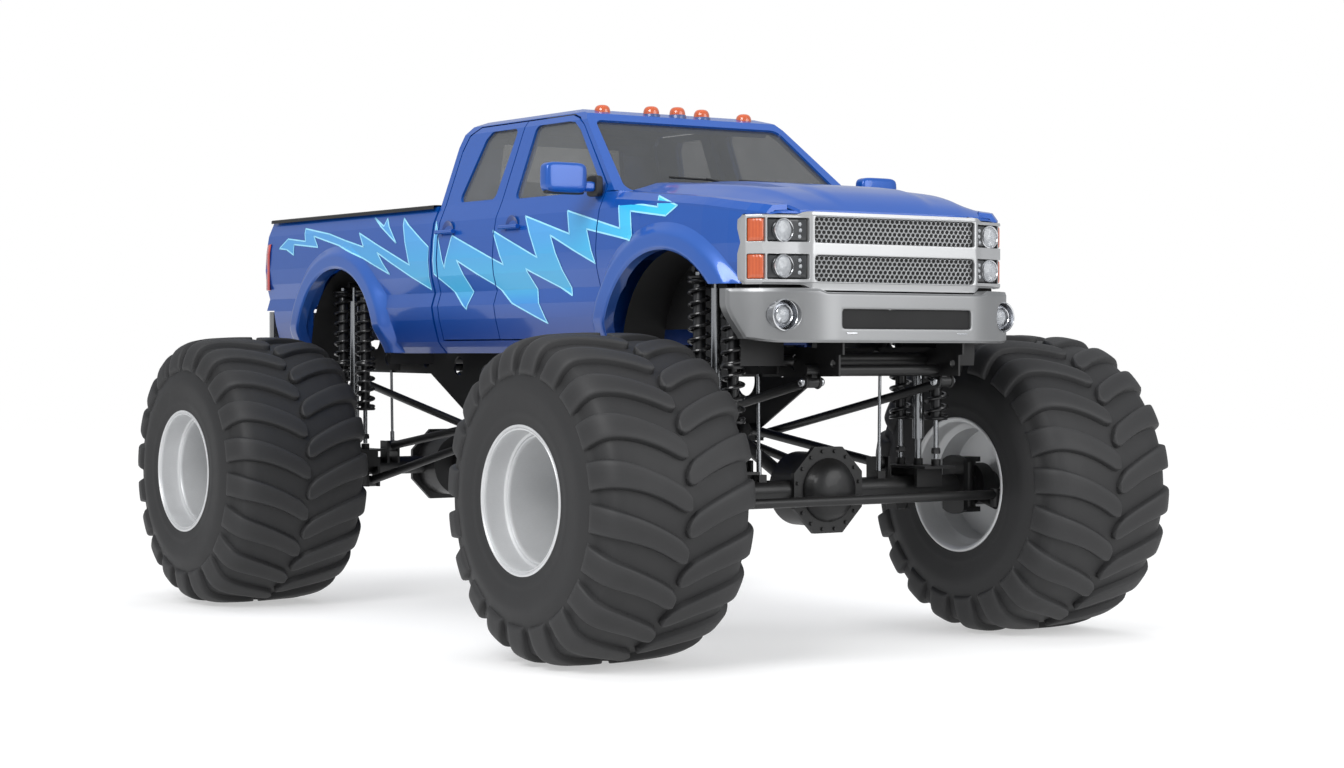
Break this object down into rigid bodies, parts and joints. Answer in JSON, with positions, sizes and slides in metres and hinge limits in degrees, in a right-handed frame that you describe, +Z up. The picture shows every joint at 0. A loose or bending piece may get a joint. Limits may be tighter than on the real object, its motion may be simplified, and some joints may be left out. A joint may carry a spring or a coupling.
{
  "type": "monster truck",
  "caption": "Crew-cab pickup on a tall plate chassis with solid axles, long-travel shocks and huge lugged tyres; steers, rolls, and its doors, hood and tailgate open.",
  "frame": {"origin": "on the ground at the middle of the wheelbase, on the truck's centre plane", "axes": "+X forward, +Y to the truck's left, +Z up"},
  "size_m": [5.76, 3.812, 2.9979],
  "materials": {
    "body_paint": "gloss blue with a pale cyan flash",
    "frame_black": "satin black",
    "engine_metal": "painted casting",
    "damper_steel": "satin",
    "seat_fabric": "plain woven",
    "trim_plastic": "grained",
    "tinted_glass": "grey tint",
    "silver_trim": "satin silver",
    "bumper_chrome": "polished",
    "lamp_clear": "clear lens over a reflector",
    "lamp_amber": "moulded lens",
    "lamp_red": "moulded lens",
    "tyre_rubber": "matt, lightly dusted",
    "rim_metal": "brushed"
  },
  "bodies": {
    "chassis": {"chassis_frame": "frame_black", "engine_block": "engine_metal", "transfer_case": "engine_metal", "front_axle": "frame_black", "rear_axle": "frame_black", "drive_shafts": "frame_black", "suspension_links": "frame_black", "coilovers": "frame_black", "dampers": "damper_steel", "limit_rods": "damper_steel", "cab_shell": "body_paint", "seats": "seat_fabric", "dashboard": "trim_plastic", "windscreen": "tinted_glass", "rear_window": "tinted_glass", "front_fenders": "body_paint", "inner_fenders": "trim_plastic", "cargo_bed": "body_paint", "grille_surround": "silver_trim", "grille_mesh": "trim_plastic", "headlamps": "lamp_clear", "fog_lamps": "lamp_clear", "marker_lamps": "lamp_amber", "tail_lamps": "lamp_red", "front_bumper": "bumper_chrome", "rear_bumper": "bumper_chrome"},
    "hood": {"hood": "body_paint"},
    "tailgate": {"tailgate": "body_paint"},
    "knuckle_left": {"knuckle_left": "frame_black"},
    "knuckle_right": {"knuckle_right": "frame_black"},
    "tie_rod": {"tie_rod": "damper_steel"},
    "front_door_left": {"door_front_left": "body_paint", "glass_front_left": "tinted_glass", "mirror_left": "body_paint"},
    "rear_door_left": {"door_rear_left": "body_paint", "glass_rear_left": "tinted_glass"},
    "front_door_right": {"door_front_right": "body_paint", "glass_front_right": "tinted_glass", "mirror_right": "body_paint"},
    "rear_door_right": {"door_rear_right": "body_paint", "glass_rear_right": "tinted_glass"},
    "wheel_front_left": {"tyre_front_left": "tyre_rubber", "rim_front_left": "rim_metal"},
    "wheel_front_right": {"tyre_front_right": "tyre_rubber", "rim_front_right": "rim_metal"},
    "wheel_rear_left": {"tyre_rear_left": "tyre_rubber", "rim_rear_left": "rim_metal"},
    "wheel_rear_right": {"tyre_rear_right": "tyre_rubber", "rim_rear_right": "rim_metal"}
  },
  "joints": [
    {"name": "steer_left", "type": "hinge", "parent": "chassis", "child": "knuckle_left", "pos_m": [2.008, 1.05, 0.838], "axis": [0, 0, 1], "range_deg": [-25, 25]},
    {"name": "steer_right", "type": "hinge", "parent": "chassis", "child": "knuckle_right", "pos_m": [2.008, -1.05, 0.838], "axis": [0, 0, 1], "range_deg": [-25, 25]},
    {"name": "wheel_front_left_turn", "type": "hinge", "parent": "knuckle_left", "child": "wheel_front_left", "pos_m": [2.008, 1.431, 0.838], "axis": [0, 1, 0], "continuous": true},
    {"name": "wheel_rear_left_turn", "type": "hinge", "parent": "chassis", "child": "wheel_rear_left", "pos_m": [-2.008, 1.431, 0.838], "axis": [0, 1, 0], "continuous": true},
    {"name": "front_door_left_hinge", "type": "hinge", "parent": "chassis", "child": "front_door_left", "pos_m": [1.203, 0.917, 2], "axis": [0, 0, -1], "range_deg": [0, 65]},
    {"name": "rear_door_left_hinge", "type": "hinge", "parent": "chassis", "child": "rear_door_left", "pos_m": [0.11, 0.917, 2], "axis": [0, 0, -1], "range_deg": [0, 65]},
    {"name": "wheel_front_right_turn", "type": "hinge", "parent": "knuckle_right", "child": "wheel_front_right", "pos_m": [2.008, -1.431, 0.838], "axis": [0, 1, 0], "continuous": true},
    {"name": "wheel_rear_right_turn", "type": "hinge", "parent": "chassis", "child": "wheel_rear_right", "pos_m": [-2.008, -1.431, 0.838], "axis": [0, 1, 0], "continuous": true},
    {"name": "front_door_right_hinge", "type": "hinge", "parent": "chassis", "child": "front_door_right", "pos_m": [1.203, -0.917, 2], "axis": [0, 0, 1], "range_deg": [0, 65]},
    {"name": "rear_door_right_hinge", "type": "hinge", "parent": "chassis", "child": "rear_door_right", "pos_m": [0.11, -0.917, 2], "axis": [0, 0, 1], "range_deg": [0, 65]},
    {"name": "tie_rod_turn", "type": "hinge", "parent": "knuckle_right", "child": "tie_rod", "pos_m": [2.248, -1.05, 0.79], "axis": [0, 0, 1], "range_deg": [-25, 25]},
    {"name": "hood_hinge", "type": "hinge", "parent": "chassis", "child": "hood", "pos_m": [1.331, 0, 2.4413], "axis": [0, -1, 0], "range_deg": [0, 55]},
    {"name": "tailgate_hinge", "type": "hinge", "parent": "chassis", "child": "tailgate", "pos_m": [-2.842, 0, 1.88], "axis": [0, -1, 0], "range_deg": [0, 90]}
  ],
  "couplings": [
    {"joint": "steer_left", "follows": "steer_right", "ratio": 1},
    {"joint": "tie_rod_turn", "follows": "steer_right", "ratio": -1}
  ]
}
